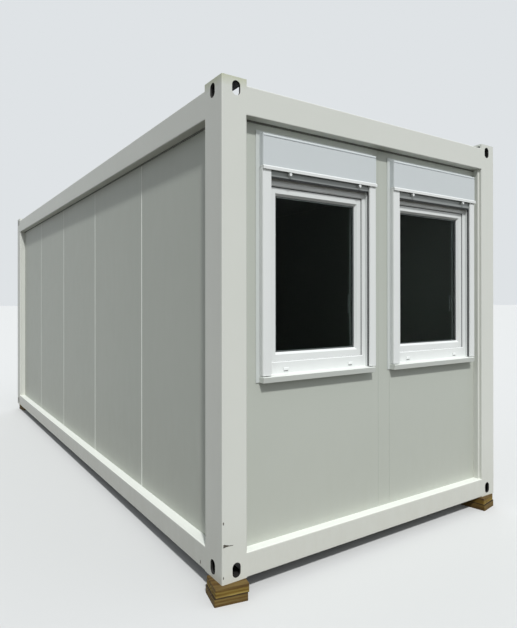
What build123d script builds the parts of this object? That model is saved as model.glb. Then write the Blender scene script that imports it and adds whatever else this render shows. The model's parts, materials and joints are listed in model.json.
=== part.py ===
from build123d import *
import os

# Site cabin on timber pads: X is the width, Y the length, Z up, all in mm.
# The end with the two windows faces -Y, and the ground is Z = 0.

# Steel frame, measured over the corner castings
cabin_width = 2435.0
cabin_length = 6055.0
cabin_height = 2694.0

# Corner castings, hollow boxes with an oval hole in each outer face, open inwards across the width
corner_width = 155.0
corner_depth = 190.0
corner_height = 118.0
casting_wall = 14.0
casting_round = 8.0
hole_width = 51.0
hole_height = 79.5
end_hole_inset = 89.0
side_hole_inset = 101.5
lock_hole_width = 63.5
lock_hole_length = 110.0

# Rolled sheet of the posts and rails
sheet = 4.0
bend = 6.0
post_step = 20.0
post_ledge_front = 15.0
post_ledge_side = 18.0
rail_lift = 1.0
floor_rail_height = 134.0
floor_rail_foot = 80.0
roof_rail_height = 160.0
roof_rail_drop = 33.0
rail_flange = 150.0
rail_lip = 25.0
gutter_edge = 50.0
gutter_fall = 54.0
gutter_width = 60.0
gutter_upstand = 15.0

# Walls of insulated panels, set back from the frame's outer faces
panel_thickness = 60.0
side_recess = 67.0
end_recess = 62.0
side_panel_count = 5
side_tuck = 55.5
panel_joint = 1.0
joint_bevel = 5.0
end_tuck = 18.0
filler_width = 104.5

# Window units: frame, sash and pane below a roller shutter box
unit_sides = ("left", "right")
first_unit_inset = 124.5
unit_margin = 56.0
unit_clearance = 2.0
sill_height = 1060.0
wall_over_unit = 64.0
box_height = 187.0
box_front = 19.0
box_depth = 165.0
box_round = 10.0
seam_drop = 14.0
seam_width = 4.0
seam_depth = 6.0
lip_drop = 15.0
lip_height = 22.0
lip_stand = 6.0
lip_thickness = 8.0
frame_front = 68.0
frame_depth = 70.0
frame_face = 26.0
frame_foot = 87.0
frame_head = 94.0
frame_bevel = 7.0
sash_front = 76.0
sash_depth = 62.0
sash_cover = 14.0
sash_clearance = 1.0
sash_face = 36.5
pane_setback = 17.0
bead_slope = 14.0
pane_thickness = 24.0
pane_rebate = 12.0
pane_clearance = 1.0

# Roller shutter, wound up: guides, last slat with its bottom bar, stops
guide_width = 59.5
guide_front = 22.0
guide_break = 18.0
guide_round = 10.0
guide_step = 2.0
slot_front = 33.0
slot_width = 17.0
slot_reach = 30.0
bar_thickness = 14.0
bar_height = 40.0
bar_reach = 24.0
bar_heights = (8.0, 16.0)
slat_thickness = 8.0
stop_sides = 8
stop_radius = 10.0
stop_length = 25.0
stop_drop = 11.0
stop_insets = (155.0, 115.0)

# Sill and the flat strips that cover the joint round each unit
sill_front = 10.0
sill_nose = 31.0
sill_rise = 15.0
sill_fall = 8.0
sill_lean = 6.0
sill_cap = 3.0
sill_short = 19.0
strip_width = 24.0
strip_head = 19.0
strip_thickness = 5.0
edge_break = 3.0

# Door in the rear end
door_width = 875.0
door_side = 51.5
wall_over_door = 299.0
door_thickness = 42.0
door_gap = 4.0
jamb_face = 45.0
jamb_front = 50.0
stop_depth = 15.0
stop_face = 12.0
handle_height = 1050.0
handle_inset = 60.0
lever_length = 125.0
lever_radius = 10.0
lever_stand = 50.0
rose_width = 45.0
rose_height = 220.0
rose_thickness = 8.0
rose_round = 15.0
hinge_count = 3
hinge_inset = 230.0
hinge_height = 90.0
hinge_width = 60.0
hinge_thickness = 3.0
hinge_radius = 7.0
barrel_sides = 12

# Floor, ceiling and roof
deck_thickness = 22.0
beam_count = 9
beam_height = 100.0
beam_width = 50.0
beam_lip = 15.0
beam_sheet = 3.0
beam_end = 6.0
ceiling_thickness = 16.0
roof_sheet_thickness = 2.0
roof_rib_height = 32.0
roof_rib_top = 60.0
roof_rib_foot = 100.0
roof_rib_pitch = 230.0
roof_margin = 106.0
roof_notch_gap = 3.0

# Timber pads, two boards under each corner: a wide one and a deep one
board_thickness = 45.0
pad_long = 188.0
pad_short = 162.0
pad_edge = 4.0
pad_inset_near = (59.0, 42.0)
pad_turn_near = -11.8
pad_inset_far = (120.5, 72.0)
pad_turn_far = 100.5
pad_shift = 6.0

# Levels worked out from the sizes above
base = 2 * board_thickness
half_width = cabin_width / 2
half_length = cabin_length / 2
mid_height = base + cabin_height / 2
floor_rail_top = base + rail_lift + floor_rail_height
roof_rail_base = base + cabin_height - roof_rail_drop - roof_rail_height
wall_height = roof_rail_base - floor_rail_top
room_x = half_width - side_recess - panel_thickness
room_y = half_length - end_recess - panel_thickness
deck_top = floor_rail_top + deck_thickness

# Runs of wall behind the posts' edges, and what they leave for each piece
end_run = cabin_width - 2 * (corner_width + post_ledge_front - end_tuck)
side_run = cabin_length - 2 * (corner_depth + post_ledge_side - side_tuck)
side_panel_width = side_run / side_panel_count
unit_spacing = unit_margin + filler_width + 2 * panel_joint + unit_clearance
units_run = end_run - first_unit_inset - unit_margin
unit_width = (units_run - (len(unit_sides) - 1) * unit_spacing) / len(unit_sides)
unit_low = base + sill_height
unit_high = roof_rail_base - wall_over_unit
box_low = unit_high - box_height
lip_low = box_low - lip_drop
door_top = roof_rail_base - wall_over_door - jamb_face
jamb_depth = end_recess + panel_thickness - jamb_front
door_panel_width = door_width + 2 * (jamb_face + door_side)
door_middle = end_run / 2 - door_panel_width / 2

os.makedirs("parts", exist_ok=True)


def save(part, name):
    part.label = name
    export_step(part, f"parts/{name}.step")


# A sheet folded square along the points, lying to the right of them
def folded_sheet(points, thickness):
    with BuildLine() as outline:
        Polyline(*points)
        offset(amount=thickness, side=Side.RIGHT, kind=Kind.INTERSECTION)
    make_face(outline.line)


# The same with each fold rounded on its outside
def bent_sheet(points, thickness, radius):
    folded_sheet(points, thickness)
    outer = []
    for before, corner, after in zip(points, points[1:], points[2:]):
        way_in = Vector(corner) - Vector(before)
        way_out = Vector(after) - Vector(corner)
        outside = Vector(corner)
        if way_in.cross(way_out).Z > 0:
            outside += (way_in.normalized() - way_out.normalized()) * thickness
        outer.append(vertices().sort_by_distance(outside)[0])
    fillet(outer, radius=radius)


# Planes on the end and the side, with x inwards from the outer face and y up
def end_section(level):
    return Plane(origin=(0, -half_length, level), x_dir=(0, 1, 0), z_dir=(1, 0, 0))


def side_section(level):
    return Plane(origin=(-half_width, 0, level), x_dir=(1, 0, 0), z_dir=(0, -1, 0))


# Planes at a depth behind an end's outer face, with x to the viewer's right and y up
def end_plane(depth, level=0.0):
    return Plane(origin=(0, -half_length + depth, level), x_dir=(1, 0, 0), z_dir=(0, -1, 0))


def rear_plane(depth):
    return Plane(origin=(0, half_length - depth, 0), x_dir=(-1, 0, 0), z_dir=(0, 1, 0))


# An upright rectangle on such a plane between two corners
def end_rectangle(left, low, right, high, mode=Mode.ADD):
    with Locations(((left + right) / 2, (low + high) / 2)):
        Rectangle(right - left, high - low, mode=mode)


def grow(rectangle, amount):
    left, low, right, high = rectangle
    return (left - amount, low - amount, right + amount, high + amount)


# Writes a piece of the front left corner, and its mirror images at the others
def save_at_corners(part, name):
    right = mirror(part, about=Plane.YZ)
    save(part, f"{name}_front_left")
    save(right, f"{name}_front_right")
    save(mirror(part, about=Plane.XZ), f"{name}_rear_left")
    save(mirror(right, about=Plane.XZ), f"{name}_rear_right")


# Corner castings
def make_castings():
    centre_x = -half_width + corner_width / 2
    centre_y = -half_length + corner_depth / 2
    with BuildPart() as casting:
        with BuildSketch(Plane.XY.offset(base)):
            with Locations((centre_x, centre_y)):
                Rectangle(corner_width, corner_depth)
        extrude(amount=corner_height)
        outer_edge = casting.edges().filter_by(Axis.Z).sort_by(Axis.X)[:2].sort_by(Axis.Y)[0]
        fillet(outer_edge, radius=casting_round)
        # The pocket behind the holes, without a wall on its inner side
        with BuildSketch(Plane.XY.offset(base + casting_wall)):
            with Locations((centre_x + casting_wall / 2, centre_y)):
                Rectangle(corner_width - casting_wall, corner_depth - 2 * casting_wall)
        extrude(amount=corner_height - 2 * casting_wall, mode=Mode.SUBTRACT)
        # The hole in the end face
        with BuildSketch(end_plane(0, base + corner_height / 2)):
            with Locations((-half_width + end_hole_inset, 0)):
                SlotOverall(hole_height, hole_width, rotation=90)
        extrude(amount=-casting_wall, mode=Mode.SUBTRACT)
        # The hole in the side face
        side_face = Plane(
            origin=(-half_width, -half_length + side_hole_inset, base + corner_height / 2),
            x_dir=(0, 1, 0),
            z_dir=(1, 0, 0),
        )
        with BuildSketch(side_face):
            SlotOverall(hole_height, hole_width, rotation=90)
        extrude(amount=casting_wall, mode=Mode.SUBTRACT)
        # The lock hole underneath
        with BuildSketch(Plane.XY.offset(base)):
            with Locations((centre_x, centre_y)):
                SlotOverall(lock_hole_length, lock_hole_width, rotation=90)
        extrude(amount=casting_wall, mode=Mode.SUBTRACT)
    save_at_corners(casting.part, "casting_bottom")
    save_at_corners(mirror(casting.part, about=Plane.XY.offset(mid_height)), "casting_top")


# Corner posts: an angle, whose edges step back along the wall panels to meet them
def make_posts():
    step_x = corner_width + post_ledge_front
    step_y = corner_depth + post_ledge_side
    angle = [(corner_width, 0), (0, 0), (0, corner_depth)]
    stepped = (
        [(step_x, end_recess), (step_x, post_step), (corner_width, post_step)]
        + angle
        + [(post_step, corner_depth), (post_step, step_y), (side_recess, step_y)]
    )
    foot = Plane(origin=(-half_width, -half_length, 0))
    foot_low = base + corner_height
    head_high = base + cabin_height - corner_height
    with BuildPart() as post:
        with BuildSketch(foot.offset(floor_rail_top)):
            bent_sheet(stepped, sheet, bend)
        extrude(amount=wall_height)
        # Beside the rails' ends the angle is plain
        with BuildSketch(foot.offset(foot_low)):
            bent_sheet(angle, sheet, bend)
        extrude(amount=floor_rail_top - foot_low)
        with BuildSketch(foot.offset(roof_rail_base)):
            bent_sheet(angle, sheet, bend)
        extrude(amount=head_high - roof_rail_base)
    save_at_corners(post.part, "corner_post")


# Rails between the castings, each one bent from sheet
def make_rail(plane, points, length):
    with BuildPart() as rail:
        with BuildSketch(plane):
            bent_sheet(points, sheet, bend)
        extrude(amount=length / 2, both=True)
    return rail.part


def make_rails():
    floor_section = [
        (floor_rail_foot, rail_lip),
        (floor_rail_foot, 0),
        (0, 0),
        (0, floor_rail_height),
        (rail_flange, floor_rail_height),
    ]
    gutter_floor = roof_rail_height - gutter_fall
    roof_section = [
        (rail_flange, rail_lip),
        (rail_flange, 0),
        (0, 0),
        (0, roof_rail_height),
        (gutter_edge, roof_rail_height),
        (gutter_edge, gutter_floor),
        (gutter_edge + gutter_width, gutter_floor),
        (gutter_edge + gutter_width, gutter_floor + gutter_upstand),
    ]
    end_length = cabin_width - 2 * corner_width
    side_length = cabin_length - 2 * corner_depth
    for name, level, section in (
        ("floor_rail", base + rail_lift, floor_section),
        ("roof_rail", roof_rail_base, roof_section),
    ):
        front = make_rail(end_section(level), section, end_length)
        left = make_rail(side_section(level), section, side_length)
        save(front, f"{name}_front")
        save(mirror(front, about=Plane.XZ), f"{name}_rear")
        save(left, f"{name}_left")
        save(mirror(left, about=Plane.YZ), f"{name}_right")


# Side walls: panels side by side, their upright edges bevelled at the joints
def make_side_walls():
    with BuildPart() as wall:
        with BuildSketch(Plane.XY.offset(floor_rail_top)):
            with Locations((-half_width + side_recess + panel_thickness / 2, 0)):
                with GridLocations(0, side_panel_width, 1, side_panel_count):
                    Rectangle(panel_thickness, side_panel_width - panel_joint)
        extrude(amount=wall_height)
        outer_edges = wall.edges().filter_by(Axis.Z).group_by(Axis.X)[0]
        chamfer(outer_edges, length=joint_bevel)
    save(wall.part, "left_wall_panels")
    save(mirror(wall.part, about=Plane.YZ), "right_wall_panels")


# Left edge of a window unit, counted from the left, and both edges of the panel round it
def unit_left(number):
    return -end_run / 2 + first_unit_inset + number * (unit_width + unit_spacing)


def window_panel_edges(number):
    left = unit_left(number) - unit_clearance if number else -end_run / 2
    return left, unit_left(number) + unit_width + unit_margin


# Front wall: two panels cut out for the window units, and a narrow filler between them
def make_front_wall():
    for number, side in enumerate(unit_sides):
        left, right = window_panel_edges(number)
        opening = (
            unit_left(number) - unit_clearance,
            unit_low - unit_clearance,
            unit_left(number) + unit_width + unit_clearance,
            unit_high + unit_clearance,
        )
        with BuildPart() as panel:
            with BuildSketch(end_plane(end_recess)):
                end_rectangle(left, floor_rail_top, right, roof_rail_base)
                end_rectangle(*opening, mode=Mode.SUBTRACT)
            extrude(amount=-panel_thickness)
        save(panel.part, f"window_panel_{side}")
    filler_left = window_panel_edges(0)[1] + panel_joint
    with BuildPart() as filler:
        with BuildSketch(end_plane(end_recess)):
            end_rectangle(filler_left, floor_rail_top, filler_left + filler_width, roof_rail_base)
        extrude(amount=-panel_thickness)
    save(filler.part, "front_fillers")


# The clear opening of a window frame, and the edge of the glass that shows in it
def frame_opening(number):
    side = guide_width + frame_face
    left = unit_left(number)
    return (left + side, unit_low + frame_foot, left + unit_width - side, box_low - frame_head)


def glass_edge(number):
    return grow(frame_opening(number), -sash_face - bead_slope)


# Window frames, bevelled round the opening and rebated at the back for the sash
def make_window_frames():
    for number, side in enumerate(unit_sides):
        left = unit_left(number)
        clear = frame_opening(number)
        with BuildPart() as frame:
            with BuildSketch(end_plane(frame_front)):
                end_rectangle(left, unit_low, left + unit_width, box_low)
                end_rectangle(*clear, mode=Mode.SUBTRACT)
            extrude(amount=-frame_depth)
            with BuildSketch(end_plane(frame_front)):
                end_rectangle(*grow(clear, frame_bevel))
            with BuildSketch(end_plane(sash_front)):
                end_rectangle(*clear)
            loft(mode=Mode.SUBTRACT)
            with BuildSketch(end_plane(sash_front)):
                end_rectangle(*grow(clear, sash_cover + sash_clearance))
            extrude(amount=-frame_depth, mode=Mode.SUBTRACT)
        save(frame.part, f"window_frame_{side}")


# Sashes with a sloping bead in front of the pane and a pocket round its edge
def make_sashes():
    pane_front = sash_front + pane_setback
    for number, side in enumerate(unit_sides):
        glass = glass_edge(number)
        with BuildPart() as sash:
            with BuildSketch(end_plane(sash_front)):
                end_rectangle(*grow(frame_opening(number), sash_cover))
                end_rectangle(*glass, mode=Mode.SUBTRACT)
            extrude(amount=-sash_depth)
            with BuildSketch(end_plane(sash_front)):
                end_rectangle(*grow(glass, bead_slope))
            with BuildSketch(end_plane(pane_front)):
                end_rectangle(*glass)
            loft(mode=Mode.SUBTRACT)
            with BuildSketch(end_plane(pane_front)):
                end_rectangle(*grow(glass, pane_rebate + pane_clearance))
            extrude(amount=-pane_thickness, mode=Mode.SUBTRACT)
        save(sash.part, f"window_sash_{side}")


def make_panes():
    with BuildPart() as panes:
        for number in range(len(unit_sides)):
            with BuildSketch(end_plane(sash_front + pane_setback)):
                end_rectangle(*grow(glass_edge(number), pane_rebate))
            extrude(amount=-pane_thickness)
    save(panes.part, "window_panes")


# Roller shutter boxes: rounded in front, the lid's seam near the top, a raised lip hanging below
def make_shutter_boxes():
    with BuildPart() as boxes:
        for number in range(len(unit_sides)):
            left = unit_left(number)
            with BuildSketch(end_plane(box_front)):
                end_rectangle(left, box_low, left + unit_width, unit_high)
            extrude(amount=-box_depth)
        front_edges = boxes.faces().filter_by(Axis.Y).group_by(Axis.Y)[0].edges()
        fillet(front_edges - front_edges.group_by(Axis.Z)[0], radius=box_round)
        lip_front = box_front - lip_stand
        lip = [
            (lip_front, lip_low),
            (lip_front, lip_low + lip_height - lip_stand),
            (box_front, lip_low + lip_height),
            (box_front + box_round, lip_low + lip_height),
            (box_front + box_round, box_low),
            (lip_front + lip_thickness, box_low),
            (lip_front + lip_thickness, lip_low),
        ]
        seam_high = unit_high - seam_drop
        for number in range(len(unit_sides)):
            left = unit_left(number)
            with BuildSketch(end_section(0).offset(left)):
                with BuildLine():
                    Polyline(*lip, close=True)
                make_face()
            extrude(amount=unit_width)
            with BuildSketch(end_plane(box_front)):
                end_rectangle(left, seam_high - seam_width, left + unit_width, seam_high)
            extrude(amount=-seam_depth, mode=Mode.SUBTRACT)
    save(boxes.part, "shutter_boxes")


# Guides beside the windows: a front part, rounded outside, a narrower back part, and the slot
def make_shutter_guides():
    guide_low = unit_low + sill_rise
    with BuildPart() as guides:
        for number in range(len(unit_sides)):
            left = unit_left(number)
            right = left + unit_width
            with BuildSketch(end_plane(guide_front)):
                end_rectangle(left, guide_low, left + guide_width, box_low)
                end_rectangle(right - guide_width, guide_low, right, box_low)
            extrude(amount=-guide_break)
            with BuildSketch(end_plane(guide_front + guide_break)):
                end_rectangle(left + guide_step, guide_low, left + guide_width, box_low)
                end_rectangle(right - guide_width, guide_low, right - guide_step, box_low)
            extrude(amount=guide_front + guide_break - frame_front)
            with BuildSketch(end_plane(slot_front)):
                end_rectangle(left + guide_width - slot_reach, guide_low, left + guide_width, box_low)
                end_rectangle(right - guide_width, guide_low, right - guide_width + slot_reach, box_low)
            extrude(amount=-slot_width, mode=Mode.SUBTRACT)
        front = guides.faces().filter_by(Axis.Y).group_by(Axis.Y)[0]
        upright = front.edges().filter_by(Axis.Z).sort_by(Axis.X)
        chamfer(upright[1:3] + upright[5:7], length=edge_break)
        front = guides.faces().filter_by(Axis.Y).group_by(Axis.Y)[0]
        upright = front.edges().filter_by(Axis.Z).sort_by(Axis.X)
        fillet(upright[0::4] + upright[3::4], radius=guide_round)
    save(guides.part, "shutter_guides")


# The curtains, wound up but for the last slat, its bottom bar and the two stops
def make_shutter_curtains():
    with BuildPart() as curtains:
        for number, bar_fall in enumerate(bar_heights):
            left = unit_left(number) + guide_width - bar_reach
            right = unit_left(number) + unit_width - guide_width + bar_reach
            bar_high = box_low - bar_fall
            stop_level = lip_low - stop_drop
            with BuildSketch(end_plane(slot_front)):
                end_rectangle(left, bar_high - bar_height, right, bar_high)
            extrude(amount=-bar_thickness)
            with BuildSketch(end_plane(slot_front + (bar_thickness - slat_thickness) / 2)):
                end_rectangle(left, bar_high, right, box_low)
            extrude(amount=-slat_thickness)
            with BuildSketch(end_plane(slot_front + bar_thickness / 2)):
                with Locations((left + stop_insets[0], stop_level), (right - stop_insets[1], stop_level)):
                    RegularPolygon(stop_radius, stop_sides)
            extrude(amount=stop_length)
    save(curtains.part, "shutter_curtains")


# Sills below the units, their noses leaning in, and flat strips beside and above the units
def make_trims():
    level = unit_low + sill_rise - sill_fall
    nose_foot = sill_front + sill_lean
    profile = [
        (nose_foot, level - sill_nose),
        (sill_front, level),
        (frame_front, unit_low + sill_rise),
        (frame_front, unit_low),
        (end_recess, unit_low),
        (end_recess, unit_low - sill_fall),
        (nose_foot + sill_fall, level - sill_nose + sill_fall),
        (nose_foot + sill_fall, level - sill_nose),
    ]
    cap = [
        (nose_foot, level - sill_nose),
        (sill_front, level),
        (end_recess - strip_thickness, level),
        (end_recess - strip_thickness, level - sill_nose),
    ]
    with BuildPart() as sills:
        for number in range(len(unit_sides)):
            left = unit_left(number)
            with BuildSketch(end_section(0).offset(left)):
                with BuildLine():
                    Polyline(*profile, close=True)
                make_face()
            extrude(amount=unit_width - sill_short)
            # The cap on the left end, in front of the cover strip
            with BuildSketch(end_section(0).offset(left - sill_cap)):
                with BuildLine():
                    Polyline(*cap, close=True)
                make_face()
            extrude(amount=sill_cap)
    save(sills.part, "window_sills")

    with BuildPart() as strips:
        for number in range(len(unit_sides)):
            left = unit_left(number)
            with BuildSketch(end_plane(end_recess)):
                end_rectangle(left - strip_width, level - sill_nose, left, unit_high + strip_head)
                end_rectangle(left, unit_high, left + unit_width, unit_high + strip_head)
            extrude(amount=strip_thickness)
    save(strips.part, "cover_strips")


# Rear wall: a plain panel, and one cut out for the door
def make_rear_wall():
    split = end_run / 2 - door_panel_width
    door_half = door_width / 2 + jamb_face + unit_clearance
    with BuildPart() as plain:
        with BuildSketch(rear_plane(end_recess)):
            end_rectangle(-end_run / 2, floor_rail_top, split - panel_joint, roof_rail_base)
        extrude(amount=-panel_thickness)
        upright = plain.edges().filter_by(Axis.Z).group_by(Axis.Y)[-1]
        chamfer(upright, length=joint_bevel)
    save(plain.part, "rear_wall_panel")
    with BuildPart() as around:
        with BuildSketch(rear_plane(end_recess)):
            end_rectangle(split, floor_rail_top, end_run / 2, roof_rail_base)
            end_rectangle(
                door_middle - door_half,
                floor_rail_top,
                door_middle + door_half,
                door_top + jamb_face + unit_clearance,
                mode=Mode.SUBTRACT,
            )
        extrude(amount=-panel_thickness)
        joint_edge = around.edges().filter_by(Axis.Z).group_by(Axis.Y)[-1].sort_by(Axis.X)[-1]
        chamfer(joint_edge, length=joint_bevel)
    save(around.part, "rear_door_panel")


# The door's frame, with the stop that the leaf closes against
def make_door_frame():
    door_left = door_middle - door_width / 2
    door_right = door_middle + door_width / 2
    with BuildPart() as frame:
        with BuildSketch(rear_plane(jamb_front)):
            end_rectangle(
                door_left - jamb_face,
                floor_rail_top,
                door_right + jamb_face,
                door_top + jamb_face,
            )
            end_rectangle(door_left, floor_rail_top, door_right, door_top, mode=Mode.SUBTRACT)
        extrude(amount=-jamb_depth)
        with BuildSketch(rear_plane(jamb_front + door_thickness)):
            end_rectangle(door_left, deck_top, door_right, door_top)
            end_rectangle(
                door_left + stop_face,
                deck_top,
                door_right - stop_face,
                door_top - stop_face,
                mode=Mode.SUBTRACT,
            )
        extrude(amount=-stop_depth)
    save(frame.part, "door_frame")


def make_door():
    leaf_half = door_width / 2 - door_gap
    with BuildPart() as leaf:
        with BuildSketch(rear_plane(jamb_front)):
            end_rectangle(
                door_middle - leaf_half,
                deck_top + door_gap,
                door_middle + leaf_half,
                door_top - door_gap,
            )
        extrude(amount=-door_thickness)
        front = leaf.faces().sort_by(Axis.Y)[-1]
        chamfer(front.edges(), length=edge_break)
    save(leaf.part, "door_leaf")
    handle_place = (door_middle - leaf_half + handle_inset, deck_top + handle_height)
    with BuildPart() as handle:
        with BuildSketch(rear_plane(jamb_front)):
            with Locations(handle_place):
                RectangleRounded(rose_width, rose_height, rose_round)
        extrude(amount=rose_thickness)
        with BuildSketch(rear_plane(jamb_front)):
            with Locations(handle_place):
                RegularPolygon(lever_radius, barrel_sides)
        extrude(amount=lever_stand)
        with BuildSketch(rear_plane(jamb_front - lever_stand + lever_radius)):
            with Locations(handle_place):
                Rectangle(lever_length, 2 * lever_radius, align=(Align.MIN, Align.CENTER))
        extrude(amount=lever_radius)
    save(handle.part, "door_handle")


# Hinges screwed flat over the joint of the leaf and its frame, spaced evenly
def make_door_hinges():
    joint = door_middle + (door_width - door_gap) / 2
    middle_level = (deck_top + door_top) / 2
    pitch = (door_top - deck_top - 2 * hinge_inset) / (hinge_count - 1)
    with BuildPart() as hinges:
        with BuildSketch(rear_plane(jamb_front)):
            with Locations((joint, middle_level)):
                with GridLocations(0, pitch, 1, hinge_count):
                    Rectangle(hinge_width, hinge_height)
        extrude(amount=hinge_thickness)
        barrel = Plane(origin=(-joint, half_length - jamb_front + hinge_radius, middle_level))
        levels = [(number - (hinge_count - 1) / 2) * pitch for number in range(hinge_count)]
        with BuildSketch(*[barrel.offset(level) for level in levels]):
            RegularPolygon(hinge_radius, barrel_sides)
        extrude(amount=hinge_height / 2, both=True)
    save(hinges.part, "door_hinges")


# Floor deck on the rails' flanges, and the beams that cross below it
def make_floor():
    with BuildPart() as deck:
        with BuildSketch(Plane.XY.offset(floor_rail_top)):
            Rectangle(2 * room_x - panel_joint, 2 * room_y - panel_joint)
        extrude(amount=deck_thickness)
    save(deck.part, "floor_deck")

    beam_top = floor_rail_top - sheet
    beam_pitch = (cabin_length - 2 * rail_flange) / beam_count
    section = [
        (beam_width, beam_lip - beam_height),
        (beam_width, -beam_height),
        (0, -beam_height),
        (0, 0),
        (beam_width, 0),
        (beam_width, -beam_lip),
    ]
    with BuildPart() as beams:
        for number in range(beam_count):
            place = (number + 0.5 - beam_count / 2) * beam_pitch
            plane = Plane(origin=(0, place, beam_top), x_dir=(0, 1, 0), z_dir=(1, 0, 0))
            with BuildSketch(plane):
                folded_sheet(section, beam_sheet)
            extrude(amount=half_width - beam_end, both=True)
    save(beams.part, "floor_cross_beams")


# Ceiling under the rails' flanges, and the ribbed sheet on the gutter edges
def make_roof():
    with BuildPart() as ceiling:
        with BuildSketch(Plane.XY.offset(roof_rail_base)):
            Rectangle(2 * room_x - panel_joint, 2 * room_y - panel_joint)
        extrude(amount=-ceiling_thickness)
    save(ceiling.part, "ceiling")

    level = roof_rail_base + roof_rail_height - gutter_fall + gutter_upstand
    edge = half_length - roof_margin
    rib_count = int(2 * (edge - roof_rib_foot) / roof_rib_pitch)
    points = [(-edge, 0)]
    for number in range(rib_count):
        middle = (number + 0.5 - rib_count / 2) * roof_rib_pitch
        points += [
            (middle - roof_rib_foot / 2, 0),
            (middle - roof_rib_top / 2, roof_rib_height),
            (middle + roof_rib_top / 2, roof_rib_height),
            (middle + roof_rib_foot / 2, 0),
        ]
    points += [(edge, 0)]
    with BuildPart() as roof:
        section = Plane(origin=(0, 0, level), x_dir=(0, 1, 0), z_dir=(1, 0, 0))
        with BuildSketch(section):
            with BuildLine():
                Polyline(*points)
                offset(amount=roof_sheet_thickness, side=Side.LEFT, kind=Kind.INTERSECTION)
            make_face()
        extrude(amount=half_width - roof_margin, both=True)
        with BuildSketch(Plane.XY.offset(level)):
            with GridLocations(cabin_width, cabin_length, 2, 2):
                Rectangle(2 * (corner_width + roof_notch_gap), 2 * (corner_depth + roof_notch_gap))
        extrude(amount=roof_rib_height + roof_sheet_thickness, both=True, mode=Mode.SUBTRACT)
    save(roof.part, "roof_sheet")


# Timber pads: the boards lie a little askew, alike at opposite corners
def make_pads():
    near = (-half_width + pad_inset_near[0], -half_length + pad_inset_near[1], pad_turn_near)
    far = (half_width - pad_inset_far[0], -half_length + pad_inset_far[1], pad_turn_far)
    places = []
    for x, y, turn in (near, far):
        places += [(x, y, turn), (-x, -y, turn)]
    for name, level, shift in (("lower", 0.0, pad_shift), ("upper", board_thickness, 0.0)):
        with BuildPart() as boards:
            for x, y, turn in places:
                with BuildSketch(Plane.XY.offset(level)):
                    with Locations(Location((x, y, 0), (0, 0, turn))):
                        with Locations((-shift, 0)):
                            Rectangle(pad_long, pad_short)
                    chamfer(vertices(), length=pad_edge)
                extrude(amount=board_thickness)
        save(boards.part, f"timber_pads_{name}")


make_castings()
make_posts()
make_rails()
make_side_walls()
make_front_wall()
make_window_frames()
make_sashes()
make_panes()
make_shutter_boxes()
make_shutter_guides()
make_shutter_curtains()
make_trims()
make_rear_wall()
make_door_frame()
make_door()
make_door_hinges()
make_floor()
make_roof()
make_pads()
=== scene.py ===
import json
import math
import bpy
from mathutils import Matrix, Vector


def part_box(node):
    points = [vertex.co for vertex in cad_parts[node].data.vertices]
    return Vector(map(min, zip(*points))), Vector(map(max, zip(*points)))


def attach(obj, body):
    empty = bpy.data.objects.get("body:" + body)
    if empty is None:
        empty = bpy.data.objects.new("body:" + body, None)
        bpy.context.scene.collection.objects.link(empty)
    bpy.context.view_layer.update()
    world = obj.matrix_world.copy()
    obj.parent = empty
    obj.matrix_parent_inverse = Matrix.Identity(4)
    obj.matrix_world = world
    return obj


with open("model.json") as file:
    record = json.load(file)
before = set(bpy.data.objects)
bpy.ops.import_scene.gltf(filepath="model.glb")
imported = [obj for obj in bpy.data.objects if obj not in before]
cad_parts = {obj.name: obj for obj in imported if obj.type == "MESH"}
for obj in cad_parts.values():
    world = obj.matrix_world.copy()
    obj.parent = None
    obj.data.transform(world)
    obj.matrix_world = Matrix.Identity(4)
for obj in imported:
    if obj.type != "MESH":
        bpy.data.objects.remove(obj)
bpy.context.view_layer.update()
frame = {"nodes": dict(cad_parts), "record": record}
print("frame loaded with", len(frame["nodes"]), "pieces")

sides = ("left", "right")  # as seen from outside the window end
near = 0.001  # places closer than this count as one, in metres
along = 0.9  # a normal or an edge with this much of an axis points along it


# Colours are written as sRGB hex codes and turned to linear here
def colour(code):
    channels = [int(code[k:k + 2], 16) / 255 for k in (0, 2, 4)]
    linear = [c / 12.92 if c <= 0.04045 else ((c + 0.055) / 1.055) ** 2.4 for c in channels]
    return (*linear, 1.0)


# A pattern's scale, from the real size in millimetres of what repeats in it
def scaleFor(millimetres):
    return 1000 / millimetres


# Adds a node with its options, and its inputs as values or as (node, output) to link
def addNode(tree, kind, inputs, **options):
    node = tree.nodes.new("ShaderNode" + kind)
    for option, value in options.items():
        setattr(node, option, value)
    for socket, value in inputs.items():
        if isinstance(value, tuple) and isinstance(value[0], bpy.types.Node):
            tree.links.new(value[0].outputs[value[1]], node.inputs[socket])
        else:
            node.inputs[socket].default_value = value
    return node


def newMaterial(name):
    material = bpy.data.materials.new(name)
    material.use_nodes = True
    material.node_tree.nodes.clear()
    return material, material.node_tree


# What a coated finish has unless it says otherwise. Sizes are in millimetres, depths and heights
# in metres. A darker tint fades out between its two heights; faces that look up are lighter, partly cleaned
# by rain, partly painted highlight.
plainCoat = {
    "heightTint": 0.0, "heightTintFull": 0.1, "heightTintGone": 0.5, "heightTintColour": "ABA593",
    "spotSize": 60, "spotStretch": 0.3,
    "washedAndLit": 0.0, "washedAndLitFrom": 0.6, "washedAndLitFull": 0.95, "washedAndLitColour": "E6E9E2",
    "ior": 1.5, "metallic": 0.0,
}

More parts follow.
